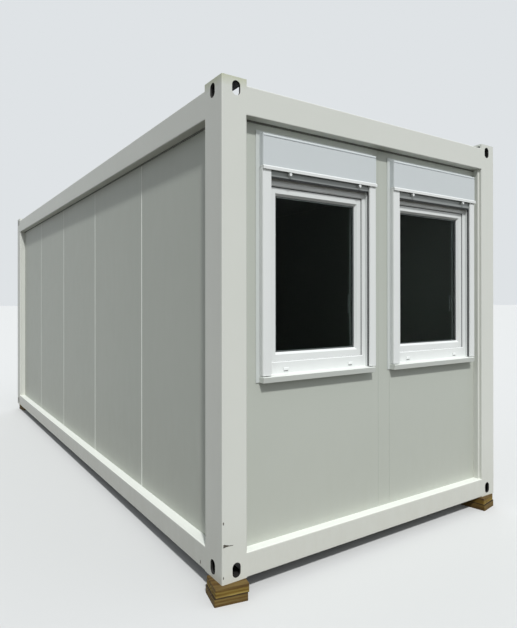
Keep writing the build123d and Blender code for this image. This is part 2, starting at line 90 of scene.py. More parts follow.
coats = {
    # Sprayed alkyd enamel on folded steel: satin, with a slight orange peel, a darker tint at the foot
    # and tops made lighter, partly cleaned by rain, partly a painted highlight. The peel is about 1.5 mm
    # across and is drawn at 5 mm.
    "satin_enamel": {
        "colour": "D1D3CC", "shade": "CBCEC6", "cloudSize": 700, "heightTint": 0.32, "washedAndLit": 1.0,
        "smooth": 0.38, "rough": 0.5, "grainSize": 5, "grainDepth": 0.00012,
        "waveSize": 350, "waveDepth": 0.0012},
    # The same enamel, greener and darker towards the top of a casting
    "top_tinted_enamel": {
        "colour": "D1D3CC", "shade": "CBCEC6", "cloudSize": 700, "heightTint": 0.9, "heightTintFull": 2.79,
        "heightTintGone": 2.725, "heightTintColour": "A1A86E", "washedAndLit": 1.0, "washedAndLitColour": "D2D7BC",
        "smooth": 0.38, "rough": 0.5, "grainSize": 5, "grainDepth": 0.00012,
        "waveSize": 350, "waveDepth": 0.0012},
    # Coil-coated steel sheet on the sandwich panels: flat grey, rolled even, hardly glossy
    "coil_coated_sheet": {
        "colour": "B4B8AF", "shade": "AFB4AB", "cloudSize": 900, "heightTint": 0.25, "heightTintGone": 0.9,
        "heightTintColour": "A09B88", "washedAndLit": 0.6, "washedAndLitColour": "C8CBC4", "smooth": 0.48, "rough": 0.6,
        "grainSize": 6, "grainDepth": 0.0001, "waveSize": 500, "waveDepth": 0.002},
    # The same sheet where it folds into the joints, pale as a painted highlight for the light its folded
    # edges catch
    "sheet_edge_painted_highlight": {
        "colour": "E4E7E1", "shade": "DCDFD9", "cloudSize": 900, "heightTint": 0.25, "heightTintGone": 0.9,
        "heightTintColour": "A09B88", "smooth": 0.44, "rough": 0.55,
        "grainSize": 6, "grainDepth": 0.0001, "waveSize": 500, "waveDepth": 0.0005},
    # The window sills are folded from a lighter coil-coated sheet
    "pale_coil_sheet": {
        "colour": "C6CAC4", "shade": "C2C6C0", "cloudSize": 300, "washedAndLit": 1.0,
        "washedAndLitColour": "E2E5E0", "smooth": 0.4, "rough": 0.5,
        "grainSize": 6, "grainDepth": 0.00008, "waveSize": 300, "waveDepth": 0.0005},
    # Flat PVC strips over the joint round each unit, a shade lighter than the panels behind them
    "cover_strip_pvc": {
        "colour": "C6CBC8", "shade": "C2C7C4", "cloudSize": 300, "smooth": 0.36, "rough": 0.46,
        "grainSize": 8, "grainDepth": 0.00006, "waveSize": 220, "waveDepth": 0.0004, "ior": 1.53},
    # Extruded hard PVC: clean white and silky
    "extruded_pvc": {
        "colour": "DCDFDD", "shade": "D8DBD9", "cloudSize": 300, "washedAndLit": 1.0,
        "washedAndLitColour": "E9ECEA", "smooth": 0.3, "rough": 0.4,
        "grainSize": 8, "grainDepth": 0.00006, "waveSize": 200, "waveDepth": 0.0003, "ior": 1.53},
    # The shutter box is extruded in a cooler pale grey with the same silky skin
    "grey_pvc": {
        "colour": "C6CCCD", "shade": "C2C8C9", "cloudSize": 300, "washedAndLit": 0.8,
        "washedAndLitColour": "DDE1E1", "smooth": 0.34, "rough": 0.44,
        "grainSize": 8, "grainDepth": 0.00006, "waveSize": 220, "waveDepth": 0.0005, "ior": 1.53},
    # Lacquered aluminium of the shutter slats: mid grey, a little metallic
    "lacquered_aluminium": {
        "colour": "8A8E8C", "shade": "858987", "cloudSize": 120, "smooth": 0.32, "rough": 0.45,
        "grainSize": 5, "grainDepth": 0.00005, "waveSize": 90, "waveDepth": 0.0003, "metallic": 0.2},
    # Powder-coated steel door and frame: close to the enamel, with the powder's even fine grain
    "powder_coated_steel": {
        "colour": "CCCFC8", "shade": "C7CAC3", "cloudSize": 500, "heightTint": 0.35, "heightTintGone": 0.7,
        "washedAndLit": 0.6, "washedAndLitColour": "DCDFD8", "smooth": 0.42, "rough": 0.52,
        "grainSize": 4, "grainDepth": 0.00014, "waveSize": 400, "waveDepth": 0.001},
    # Melamine-faced board of the ceiling: plain white with a soft sheen
    "melamine_board": {
        "colour": "DCDCD8", "shade": "D6D6D2", "cloudSize": 400, "smooth": 0.4, "rough": 0.5,
        "grainSize": 6, "grainDepth": 0.00008, "waveSize": 300, "waveDepth": 0.0004},
    # Painted shade inside the corner castings: brown-black, rough and dull
    "bare_cast_steel": {
        "colour": "262523", "shade": "1E1D1B", "cloudSize": 60, "smooth": 0.65, "rough": 0.85,
        "grainSize": 4, "grainDepth": 0.0004, "waveSize": 40, "waveDepth": 0.0008},
    # EPDM seals: near black and matt, a little lighter where they look up. This black is also painted shade
    # for the open drain slots, and partly for the gap under the shutter bars
    "epdm_rubber_and_shade": {
        "colour": "26282A", "shade": "303234", "cloudSize": 40, "washedAndLit": 0.5,
        "washedAndLitColour": "3C3E3E", "smooth": 0.55, "rough": 0.75,
        "grainSize": 3, "grainDepth": 0.00008, "waveSize": 60, "waveDepth": 0.0001, "ior": 1.52},
    # The corner bead under the roof: grey-green, soft and matt; its dark colour is partly painted shade for
    # the gap between rail and wall
    "corner_bead_painted_shade": {
        "colour": "5E605A", "shade": "555751", "cloudSize": 50, "smooth": 0.6, "rough": 0.8,
        "grainSize": 5, "grainDepth": 0.0002, "waveSize": 60, "waveDepth": 0.0006},
    # Bare steel where the paint is chipped: dark, with a little old rust, and rough
    "chipped_steel": {
        "colour": "3E3C36", "shade": "4A4338", "cloudSize": 9, "smooth": 0.6, "rough": 0.8,
        "grainSize": 3, "grainDepth": 0.0002, "waveSize": 20, "waveDepth": 0.0002},
}


# A coat over a smooth base: cloudy tint, a spotty darker tint that fades with height, tops lightened partly
# by rain and partly as painted highlight, fine grain and slow waves
def coatedSurface(name):
    coat = {**plainCoat, **coats[name]}
    material, tree = newMaterial(name)
    place = addNode(tree, "TexCoord", {})
    height = addNode(tree, "SeparateXYZ", {"Vector": (place, "Object")})
    clouds = addNode(tree, "TexNoise", {
        "Vector": (place, "Object"), "Scale": scaleFor(coat["cloudSize"]), "Detail": 4.0, "Roughness": 0.6})
    tint = addNode(tree, "Mix", {
        0: (clouds, "Fac"), 6: colour(coat["colour"]), 7: colour(coat["shade"])}, data_type="RGBA")
    # A darker, spotty tint that fades out between two heights
    heightTintEdge = addNode(tree, "MapRange", {
        "Value": (height, "Z"), "From Min": coat["heightTintGone"], "From Max": coat["heightTintFull"],
        "To Min": 0.0, "To Max": coat["heightTint"]})
    stretch = addNode(tree, "Mapping", {
        "Vector": (place, "Object"), "Scale": (1.0, 1.0, coat["spotStretch"])})
    tintSpots = addNode(tree, "TexNoise", {
        "Vector": (stretch, "Vector"), "Scale": scaleFor(coat["spotSize"]), "Detail": 8.0, "Roughness": 0.7})
    heightTint = addNode(tree, "Math", {0: (heightTintEdge, "Result"), 1: (tintSpots, "Fac")}, operation="MULTIPLY")
    heightTinted = addNode(tree, "Mix", {
        0: (heightTint, "Value"), 6: (tint, 2), 7: colour(coat["heightTintColour"])}, data_type="RGBA")
    facing = addNode(tree, "NewGeometry", {})
    upward = addNode(tree, "SeparateXYZ", {"Vector": (facing, "Normal")})
    # Faces that look up get a lighter colour, partly cleaned by rain and partly a painted highlight
    washedAndLit = addNode(tree, "MapRange", {
        "Value": (upward, "Z"), "From Min": coat["washedAndLitFrom"], "From Max": coat["washedAndLitFull"],
        "To Max": coat["washedAndLit"]})
    washedAndLitTint = addNode(tree, "Mix", {
        0: (washedAndLit, "Result"), 6: (heightTinted, 2), 7: colour(coat["washedAndLitColour"])}, data_type="RGBA")
    sheen = addNode(tree, "MapRange", {
        "Value": (tintSpots, "Fac"), "From Min": 0.3, "From Max": 0.7,
        "To Min": coat["smooth"], "To Max": coat["rough"]})
    grain = addNode(tree, "TexNoise", {
        "Vector": (place, "Object"), "Scale": scaleFor(coat["grainSize"]), "Detail": 2.0})
    waves = addNode(tree, "TexNoise", {
        "Vector": (place, "Object"), "Scale": scaleFor(coat["waveSize"]), "Detail": 1.0})
    waveBump = addNode(tree, "Bump", {
        "Height": (waves, "Fac"), "Strength": 1.0, "Distance": coat["waveDepth"]})
    grainBump = addNode(tree, "Bump", {
        "Height": (grain, "Fac"), "Normal": (waveBump, "Normal"), "Strength": 1.0,
        "Distance": coat["grainDepth"]})
    surface = addNode(tree, "BsdfPrincipled", {
        "Base Color": (washedAndLitTint, 2), "Roughness": (sheen, "Result"), "Normal": (grainBump, "Normal"),
        "IOR": coat["ior"], "Metallic": coat["metallic"]})
    addNode(tree, "OutputMaterial", {"Surface": (surface, "BSDF")})
    return material


glass = {
    "tint": "A8B0AD",
    "ior": 1.09,
    "waveSize": 260,
    "waveDepth": 0.0004,
    "filmSize": 45,
    "haze": 0.04,
}


# Insulating glass with the dark room behind it: nearly black, with a clear thin reflection.
# An antireflective coat keeps the reflection low, so the IOR stands below that of bare glass.
def insulatingGlass():
    material, tree = newMaterial("insulating_glass")
    place = addNode(tree, "TexCoord", {})
    waves = addNode(tree, "TexNoise", {
        "Vector": (place, "Object"), "Scale": scaleFor(glass["waveSize"]), "Detail": 1.0})
    bump = addNode(tree, "Bump", {
        "Height": (waves, "Fac"), "Strength": 1.0, "Distance": glass["waveDepth"]})
    film = addNode(tree, "TexNoise", {
        "Vector": (place, "Object"), "Scale": scaleFor(glass["filmSize"]), "Detail": 5.0, "Roughness": 0.6})
    sheen = addNode(tree, "MapRange", {
        "Value": (film, "Fac"), "From Min": 0.4, "From Max": 0.7, "To Min": 0.0, "To Max": glass["haze"]})
    surface = addNode(tree, "BsdfPrincipled", {
        "Base Color": colour(glass["tint"]), "Roughness": (sheen, "Result"), "Normal": (bump, "Normal"),
        "IOR": glass["ior"], "Transmission Weight": 1.0})
    addNode(tree, "OutputMaterial", {"Surface": (surface, "BSDF")})
    return material


brushed = {
    "colour": "C9CBCC",
    "scratchPitch": 3,
    "scratchStretch": 0.04,
    "scratchDepth": 0.0001,
    "smooth": 0.25,
    "rough": 0.42,
}


# Brushed aluminium: fine parallel scratches, here along X and drawn 3 mm apart so that they show
def brushedAluminium():
    material, tree = newMaterial("brushed_aluminium")
    place = addNode(tree, "TexCoord", {})
    stretch = addNode(tree, "Mapping", {
        "Vector": (place, "Object"), "Scale": (brushed["scratchStretch"], 1.0, 1.0)})
    scratches = addNode(tree, "TexNoise", {
        "Vector": (stretch, "Vector"), "Scale": scaleFor(brushed["scratchPitch"]), "Detail": 3.0})
    sheen = addNode(tree, "MapRange", {
        "Value": (scratches, "Fac"), "From Min": 0.3, "From Max": 0.7,
        "To Min": brushed["smooth"], "To Max": brushed["rough"]})
    bump = addNode(tree, "Bump", {
        "Height": (scratches, "Fac"), "Strength": 0.5, "Distance": brushed["scratchDepth"]})
    surface = addNode(tree, "BsdfPrincipled", {
        "Base Color": colour(brushed["colour"]), "Metallic": 1.0, "Roughness": (sheen, "Result"),
        "Normal": (bump, "Normal")})
    addNode(tree, "OutputMaterial", {"Surface": (surface, "BSDF")})
    return material


zinc = {
    "colour": "AEB2B4",
    "light": "C9CDCF",
    "crystalSize": 12,
    "crystalDepth": 0.0002,
    "stainSize": 400,
    "smooth": 0.34,
    "rough": 0.55,
    "metallic": 0.9,  # the rest is the dull skin that zinc grows in the weather
}


# Hot-dip galvanised sheet: zinc crystals 12 mm across, each with its own grey and sheen
def galvanisedSheet():
    material, tree = newMaterial("galvanised_sheet")
    place = addNode(tree, "TexCoord", {})
    crystals = addNode(tree, "TexVoronoi", {
        "Vector": (place, "Object"), "Scale": scaleFor(zinc["crystalSize"]), "Randomness": 1.0})
    shine = addNode(tree, "SeparateColor", {"Color": (crystals, "Color")})
    stains = addNode(tree, "TexNoise", {
        "Vector": (place, "Object"), "Scale": scaleFor(zinc["stainSize"]), "Detail": 6.0,
        "Roughness": 0.65})
    blend = addNode(tree, "Math", {0: (shine, 0), 1: (stains, "Fac")}, operation="MULTIPLY")
    tint = addNode(tree, "Mix", {
        0: (blend, "Value"), 6: colour(zinc["colour"]), 7: colour(zinc["light"])}, data_type="RGBA")
    sheen = addNode(tree, "MapRange", {
        "Value": (shine, 1), "To Min": zinc["smooth"], "To Max": zinc["rough"]})
    bump = addNode(tree, "Bump", {
        "Height": (crystals, "Distance"), "Strength": 0.4, "Distance": zinc["crystalDepth"]})
    surface = addNode(tree, "BsdfPrincipled", {
        "Base Color": (tint, 2), "Metallic": zinc["metallic"], "Roughness": (sheen, "Result"),
        "Normal": (bump, "Normal")})
    addNode(tree, "OutputMaterial", {"Surface": (surface, "BSDF")})
    return material


board = {
    "colour": "6F6A60",
    "light": "8A8477",
    "flakeSize": 5,
    "flakeDepth": 0.0002,
    "scuffSize": 180,
    "smooth": 0.4,
    "rough": 0.7,
    "ior": 1.5,
}


# Sealed floor board: brown-grey particles 5 mm across under a thin matt varnish
def sealedBoard():
    material, tree = newMaterial("sealed_board")
    place = addNode(tree, "TexCoord", {})
    flakes = addNode(tree, "TexVoronoi", {
        "Vector": (place, "Object"), "Scale": scaleFor(board["flakeSize"]), "Randomness": 1.0})
    tone = addNode(tree, "SeparateColor", {"Color": (flakes, "Color")})
    tint = addNode(tree, "Mix", {
        0: (tone, 0), 6: colour(board["colour"]), 7: colour(board["light"])}, data_type="RGBA")
    scuffs = addNode(tree, "TexNoise", {
        "Vector": (place, "Object"), "Scale": scaleFor(board["scuffSize"]), "Detail": 5.0})
    sheen = addNode(tree, "MapRange", {
        "Value": (scuffs, "Fac"), "To Min": board["smooth"], "To Max": board["rough"]})
    bump = addNode(tree, "Bump", {
        "Height": (tone, 0), "Strength": 0.3, "Distance": board["flakeDepth"]})
    surface = addNode(tree, "BsdfPrincipled", {
        "Base Color": (tint, 2), "Roughness": (sheen, "Result"), "Normal": (bump, "Normal"),
        "IOR": board["ior"]})
    addNode(tree, "OutputMaterial", {"Surface": (surface, "BSDF")})
    return material


pine = {
    "stack": 0.09,  # height of the two boards
    # From the ground up: share of the stack's height and colour
    "bands": (
        (0.0, "64532C"), (0.12, "776538"), (0.42, "7E6C3A"), (0.47, "41341B"), (0.51, "41341B"),
        (0.54, "AC9B5C"), (0.62, "93813C"), (0.80, "8C7938"), (0.86, "7A6632"), (1.0, "705C2E")),
    "unevenness": 0.006,
    "unevenSize": 90,
    # The shift that puts the rings' heart beside the boards, and the boards' turn in degrees
    "grain": {"X": ((-0.55, -3.22, 0.03), 11.8), "Y": ((-1.62, -2.75, 0.03), 10.5)},
    "ringPitch": 17,
    "ringColour": "CDB97E",
    "ringDepth": 0.0008,
    "fibreWidth": 10,
    "fibreStretch": 0.06,
    "fibreColour": "A58D58",
    "fibreDepth": 0.0012,
    "roughness": 0.82,
    "ior": 1.45,
}


# Sawn, impregnated pine: brown and olive bands with height, yearly rings round a heart near the
# board, and fibres along it. The grain runs along X or Y, so ends and sides differ. Real rings are
# about 4 mm apart and fibres finer still; here they are 17 and 10 mm so that they show.
def sawnPine(axis):
    heart, skew = pine["grain"][axis]
    material, tree = newMaterial("sawn_pine_" + axis.lower())
    place = addNode(tree, "TexCoord", {})
    corner = addNode(tree, "VectorMath", {0: (place, "Object")}, operation="ABSOLUTE")
    centred = addNode(tree, "Mapping", {
        "Vector": (corner, "Vector"), "Location": heart, "Rotation": (0.0, 0.0, math.radians(skew))})
    warp = addNode(tree, "TexNoise", {
        "Vector": (centred, "Vector"), "Scale": scaleFor(pine["unevenSize"]), "Detail": 3.0})
    # At a scale of 1, a wave's rings repeat twenty times in 2 pi metres
    rings = addNode(tree, "TexWave", {
        "Vector": (centred, "Vector"), "Scale": scaleFor(pine["ringPitch"]) * math.tau / 20,
        "Distortion": 1.2, "Detail": 2.0, "Detail Scale": 1.5}, wave_type="RINGS", rings_direction=axis)
    level = addNode(tree, "SeparateXYZ", {"Vector": (place, "Object")})
    unevenLevel = addNode(tree, "Math", {
        0: (warp, "Fac"), 1: pine["unevenness"], 2: (level, "Z")}, operation="MULTIPLY_ADD")
    height = addNode(tree, "MapRange", {
        "Value": (unevenLevel, "Value"), "From Min": pine["unevenness"] / 2,
        "From Max": pine["stack"] + pine["unevenness"] / 2})
    bands = addNode(tree, "ValToRGB", {"Fac": (height, "Result")})
    ramp = bands.color_ramp
    ramp.elements[0].color = colour(pine["bands"][0][1])
    ramp.elements[1].color = colour(pine["bands"][-1][1])
    for share, code in pine["bands"][1:-1]:
        ramp.elements.new(share).color = colour(code)
    wood = addNode(tree, "Mix", {
        0: (rings, "Fac"), 6: (bands, "Color"), 7: colour(pine["ringColour"])},
        data_type="RGBA", blend_type="MULTIPLY")
    thin = pine["fibreStretch"]
    stretch = addNode(tree, "Mapping", {
        "Vector": (centred, "Vector"), "Scale": (thin, 1.0, 1.0) if axis == "X" else (1.0, thin, 1.0)})
    fibres = addNode(tree, "TexNoise", {
        "Vector": (stretch, "Vector"), "Scale": scaleFor(pine["fibreWidth"]), "Detail": 3.0,
        "Roughness": 0.6})
    streaks = addNode(tree, "MapRange", {
        "Value": (fibres, "Fac"), "From Min": 0.35, "From Max": 0.65, "To Max": 0.75})
    stained = addNode(tree, "Mix", {
        0: (streaks, "Result"), 6: (wood, 2), 7: colour(pine["fibreColour"])},
        data_type="RGBA", blend_type="MULTIPLY")
    bump = addNode(tree, "Bump", {
        "Height": (fibres, "Fac"), "Strength": 0.8, "Distance": pine["fibreDepth"]})
    ringBump = addNode(tree, "Bump", {
        "Height": (rings, "Fac"), "Normal": (bump, "Normal"), "Strength": 0.4,
        "Distance": pine["ringDepth"]})
    surface = addNode(tree, "BsdfPrincipled", {
        "Base Color": (stained, 2), "Roughness": pine["roughness"], "Normal": (ringBump, "Normal"),
        "IOR": pine["ior"]})
    addNode(tree, "OutputMaterial", {"Surface": (surface, "BSDF")})
    return material


materials = {
    "frame_paint": coatedSurface("satin_enamel"),
    "wall_panel": coatedSurface("coil_coated_sheet"),
    "window_pvc": coatedSurface("extruded_pvc"),
    "sill_sheet": coatedSurface("pale_coil_sheet"),
    "shutter_housing": coatedSurface("grey_pvc"),
    "shutter_slat": coatedSurface("lacquered_aluminium"),
    "pane": insulatingGlass(),
    "door_steel": coatedSurface("powder_coated_steel"),
    "handle": brushedAluminium(),
    "deck_board": sealedBoard(),
    "galvanised": galvanisedSheet(),
    "ceiling_board": coatedSurface("melamine_board"),
    "timber": sawnPine("X"),
}
ownFinish = {
    "cover_strips": "cover_strip_pvc",
    "casting_top_front_left": "top_tinted_enamel",
}
for subpart in frame["record"]["subparts"]:
    node = frame["nodes"][subpart["node"]]
    node.data.materials.clear()
    node.data.materials.append(materials[subpart["material_slot"]])
for name, finish in ownFinish.items():
    frame["nodes"][name].data.materials[0] = coatedSurface(finish)
rubberAndShade = coatedSurface("epdm_rubber_and_shade")
print("materials on the frame's pieces:", len(materials) + len(ownFinish))


# Gives the faces of a node that pass the test a second material
def dressFaces(name, material, test):
    mesh = frame["nodes"][name].data
    mesh.materials.append(material)
    for face in mesh.polygons:
        face.material_index = 1 if test(face.center) else 0


detail = {
    "castingWall": 0.004,  # faces deeper in the casting than this are inside it
    "jointDepth": (0.0003, 0.03),  # faces this far in from a side wall's face are in its joints
    "lipTop": 2.3475,  # faces of a shutter box below this are its lip's
    "stopFront": 0.0325,  # faces nearer to the cabin's front than this are the bars' stops
}


# The castings' insides get a near-black painted shade, the side walls' joints a pale painted highlight,
# and the lip under each shutter box and the stops on its bottom bar are white
def dressDetails():
    # Near-black painted shade for the castings' insides
    insideShade = coatedSurface("bare_cast_steel")
    for name in frame["nodes"]:
        if not name.startswith("casting"):
            continue
        low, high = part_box(name)
        inset = Vector((detail["castingWall"],) * 3)
        inLow, inHigh = low + inset, high - inset
        dressFaces(name, insideShade, lambda point: all(
            inLow[k] < point[k] < inHigh[k] for k in (0, 1, 2)))
    # The joints' faces get a pale painted highlight
    edgeHighlight = coatedSurface("sheet_edge_painted_highlight")
    shallow, deep = detail["jointDepth"]
    for end, side in enumerate(sides):
        name = side + "_wall_panels"
        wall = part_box(name)[end].x  # low end of the left wall's box, high end of the right one's
        dressFaces(name, edgeHighlight, lambda point: shallow < abs(point.x - wall) < deep)
    whitePvc = materials["window_pvc"]
    dressFaces("shutter_boxes", whitePvc, lambda point: point.z < detail["lipTop"])
    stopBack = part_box("corner_post_front_left")[0].y + detail["stopFront"]
    dressFaces("shutter_curtains", whitePvc, lambda point: point.y < stopBack)


# Two pads have their boards turned, so the grain of those runs along Y
def turnPadGrain():
    alongY = sawnPine("Y")
    for name in ("timber_pads_lower", "timber_pads_upper"):
        dressFaces(name, alongY, lambda point: point.x * point.y < 0)


dressDetails()
turnPadGrain()
print("details of the frame's pieces dressed")


# Adds a primitive at its size and place, alone in the selection and with its place in its mesh
def addPrimitive(kind, name, middle, extent, **options):
    bpy.ops.object.select_all(action="DESELECT")
    getattr(bpy.ops.mesh, f"primitive_{kind}_add")(location=middle, **options)
    piece = bpy.context.object
    piece.name = name
    piece.scale = extent
    bpy.ops.object.transform_apply(location=True, rotation=True, scale=True)
    return piece


# Picks the faces, or the edges, whose middle passes the test, and goes into edit mode
def pick(piece, kind, test):
    bpy.ops.object.mode_set(mode="OBJECT")
    mesh = piece.data
    for part in (*mesh.vertices, *mesh.edges, *mesh.polygons):
        part.select = False
    if kind == "FACE":
        for face in mesh.polygons:
            face.select = test(face.center, face.normal)
    else:
        for edge in mesh.edges:
            one, two = (mesh.vertices[k].co for k in edge.vertices)
            edge.select = test((one + two) / 2, (two - one).normalized())
    bpy.context.tool_settings.mesh_select_mode = (False, kind == "EDGE", kind == "FACE")
    bpy.ops.object.mode_set(mode="EDIT")
    bpy.ops.mesh.select_mode(type=kind)


def extrudeBy(x, y, z):
    bpy.ops.mesh.extrude_region_move(TRANSFORM_OT_translate={"value": (x, y, z)})


def roundEdges(piece, width, segments=2):
    bpy.ops.object.mode_set(mode="OBJECT")
    rounding = piece.modifiers.new("rounding", "BEVEL")
    rounding.width = width
    rounding.segments = segments
    rounding.limit_method = "ANGLE"
    rounding.angle_limit = math.radians(40)
    bpy.ops.object.modifier_apply(modifier=rounding.name)


# Welds the mesh, turns its faces outwards, dresses it and lets it ride on the cabin
def finishPiece(piece, material):
    bpy.ops.object.mode_set(mode="EDIT")
    bpy.ops.mesh.select_all(action="SELECT")
    bpy.ops.mesh.remove_doubles(threshold=0.00001)
    bpy.ops.mesh.normals_make_consistent(inside=False)
    bpy.ops.object.mode_set(mode="OBJECT")
    bpy.ops.object.shade_smooth_by_angle(angle=math.radians(35))
    piece.data.materials.clear()
    piece.data.materials.append(material)
    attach(piece, "root")


# Copies a piece with its mesh, once for each shift from its own place, and joins them all into it
def repeatPiece(piece, shifts):
    bpy.ops.object.select_all(action="DESELECT")
    for shift in shifts:
        copy = piece.copy()
        copy.data = piece.data.copy()
        copy.data.transform(Matrix.Translation(shift))
        bpy.context.collection.objects.link(copy)
        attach(copy, "root")
        copy.select_set(True)
    piece.select_set(True)
    bpy.context.view_layer.objects.active = piece
    bpy.ops.object.join()


seals = {
    "sashCover": 0.014,  # how far the sash goes behind the frame's opening
    "glassInset": 0.0645,  # from the sash's edge to the glass that shows
    "gasketLap": 0.001,  # how far the gasket goes under the frame
    "gasketWidth": 0.005,
    "gasketStand": 0.003,
    "gasketSink": 0.0064,  # the bottom run lies this far down behind the bevel
    "beadWidth": 0.003,
    "beadStand": 0.0015,
    "beadSink": 0.0005,
    "spacerWidth": 0.006,
    "spacerFront": 0.004,
    "spacerDepth": 0.016,
    "paneBack": 0.017,  # from the sash's front to the glass
    "rounding": 0.3,
}


# A closed ring that faces the window end: a plane, inset, opened and drawn back into its depth
def makeRing(name, left, low, right, high, width, front, depth, material):
    middle = ((left + right) / 2, front, (low + high) / 2)
    ring = addPrimitive("plane", name, middle, (right - left, high - low, 1.0), size=1,
                        rotation=(math.pi / 2, 0, 0))
    pick(ring, "FACE", lambda point, normal: True)
    bpy.ops.mesh.inset(thickness=width)
    bpy.ops.mesh.delete(type="FACE")
    bpy.ops.mesh.select_all(action="SELECT")
    extrudeBy(0, depth, 0)
    roundEdges(ring, min(width, depth) * seals["rounding"])
    finishPiece(ring, material)


# Rubber gaskets where the sash meets its frame and where the bead meets the glass, and the
# aluminium spacer bar between the two sheets of glass
def makeSeals():
    spacerMetal = brushedAluminium()
    for side in sides:
        low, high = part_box("window_sash_" + side)
        cover, lap, inset = seals["sashCover"], seals["gasketLap"], seals["glassInset"]
        makeRing("sash_gasket_" + side, low.x + cover - lap, low.z + cover - seals["gasketSink"],
                 high.x - cover + lap, high.z - cover + lap, seals["gasketWidth"],
                 low.y - seals["gasketStand"], seals["gasketStand"], rubberAndShade)
        glassFront = low.y + seals["paneBack"]
        opening = (low.x + inset, low.z + inset, high.x - inset, high.z - inset)
        makeRing("glazing_gasket_" + side, *opening, seals["beadWidth"],
                 glassFront - seals["beadStand"], seals["beadStand"] + seals["beadSink"], rubberAndShade)
        makeRing("glass_spacer_" + side, *opening, seals["spacerWidth"],
                 glassFront + seals["spacerFront"], seals["spacerDepth"], spacerMetal)


makeSeals()
print("window seals made")

guides = {
    "unitLeft": (-0.941, 0.1165),
    "unitWidth": 0.893,
    "guideWidth": 0.0595,
    "slotMiddle": 0.0415,  # behind the cabin's front
    "slotWidth": 0.0165,
    "slotReach": 0.030,
    "brushSet": 0.004,  # the bristles start this far inside the slot's mouth
    "brushGroove": 0.003,
    "brushTop": 2.282,
    "barMiddle": 0.040,  # behind the cabin's front
    "barRise": (0.008, 0.0),  # the left shutter is rolled up a little further
    "lipHeight": 0.009,
    "lipDepth": 0.007,
    "lipGap": 0.002,
    "lipRounding": 0.4,
}


# Brush seals fill the guides' slots, pile to pile with a narrow groove where the slats run
def makeBrushes():
    base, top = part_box("shutter_guides")[0].z, guides["brushTop"]
    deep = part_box("corner_post_front_left")[0].y + guides["slotMiddle"]
    reach = guides["slotReach"] - guides["brushSet"]
    for side, unitLeft in zip(sides, guides["unitLeft"]):
        leftMouth = unitLeft + guides["guideWidth"]
        rightMouth = unitLeft + guides["unitWidth"] - guides["guideWidth"]
        for hand, mouth, outward in (("left", leftMouth, -1), ("right", rightMouth, 1)):
            middle = mouth + outward * (guides["brushSet"] + reach / 2)
            brush = addPrimitive(
                "cube", f"brush_seal_{side}_{hand}", (middle, deep, (base + top) / 2),
                (reach, guides["slotWidth"], top - base), size=1)
            pick(brush, "FACE", lambda point, normal: normal.x * outward < -along)
            bpy.ops.mesh.inset(thickness=guides["slotWidth"] / 2 - guides["brushGroove"] / 2)
            extrudeBy(outward * reach / 2, 0, 0)
            finishPiece(brush, rubberAndShade)


# An EPDM strip hangs under each shutter's bottom bar, with a rounded foot; its black is partly painted shade
# for the dark gap under the bar
def makeBarSealsAndShade():
    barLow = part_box("shutter_curtains")[0].z
    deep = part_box("corner_post_front_left")[0].y + guides["barMiddle"]
    height, depth = guides["lipHeight"], guides["lipDepth"]
    run = guides["unitWidth"] - 2 * guides["guideWidth"] - guides["lipGap"]
    for side, unitLeft, rise in zip(sides, guides["unitLeft"], guides["barRise"]):
        foot = barLow + rise - height
        middle = (unitLeft + guides["unitWidth"] / 2, deep, foot + height / 2)
        lip = addPrimitive("cube", "bar_seal_and_shade_" + side, middle, (run, depth, height), size=1)
        pick(lip, "EDGE", lambda point, way: abs(way.x) > along and point.z < foot + near)
        bpy.ops.mesh.bevel(offset=depth * guides["lipRounding"], segments=3)
        finishPiece(lip, rubberAndShade)


makeBrushes()
makeBarSealsAndShade()
print("shutter seals made")

drain = {
    "insets": (-0.255, 0.255),  # from the window's middle
    "level": 1.189,
    "width": 0.036,
    "height": 0.015,
    "stand": 0.007,
    "rounding": 0.6,
    "wall": 0.0012,
    "hollow": 0.7,
    "slitHeight": 0.004,
    "slitShare": 0.8,  # of the cap's width
    "slitThickness": 0.001,
    "slitStand": 0.0004,
    "slitRounding": 0.4,
}


# White hoods over the frame's drainage slots, open below; the dark slot under each is a thin black plate,
# painted shade for the open slot
def makeDrainCaps():
    width, stand, height = drain["width"], drain["stand"], drain["height"]
    slitHeight = drain["slitHeight"]
    for side in sides:
        low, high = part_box("window_frame_" + side)
        for number, inset in enumerate(drain["insets"], 1):
            middle = Vector(((low.x + high.x) / 2 + inset, low.y - stand / 2, drain["level"]))
            cap = addPrimitive("cube", f"drain_cap_{side}_{number}", middle, (width, stand, height), size=1)
            frontFace, top = middle.y - stand / 2, middle.z + height / 2
            pick(cap, "EDGE", lambda point, way: point.y < frontFace + near and (
                abs(way.z) > along or point.z > top - near))
            bpy.ops.mesh.bevel(offset=stand * drain["rounding"], segments=3)
            pick(cap, "FACE", lambda point, normal: normal.z < -along)
            bpy.ops.mesh.inset(thickness=drain["wall"])
            extrudeBy(0, 0, height * drain["hollow"])
            finishPiece(cap, materials["window_pvc"])
            # A thin black plate under the hood is painted shade for the open slot
            slitMiddle = (middle.x, low.y - drain["slitStand"], middle.z - (height + slitHeight) / 2)
            slitShade = addPrimitive("cube", f"drain_slot_shade_{side}_{number}", slitMiddle,
                                (width * drain["slitShare"], drain["slitThickness"], slitHeight), size=1)
            pick(slitShade, "EDGE", lambda point, way: abs(way.y) > along)
            bpy.ops.mesh.bevel(offset=slitHeight * drain["slitRounding"], segments=3)
            finishPiece(slitShade, rubberAndShade)


windowHandle = {
    "inset": 0.0355,  # from the sash's right edge
    "top": 1.632,
    "foot": 1.505,
    "rose": (0.030, 0.009, 0.070),  # width, depth and height of the plate behind the lever
    "neck": 0.013,
    "stand": 0.030,
    "leverWidth": 0.020,
    "leverDepth": 0.012,
    "rounding": 0.003,
}


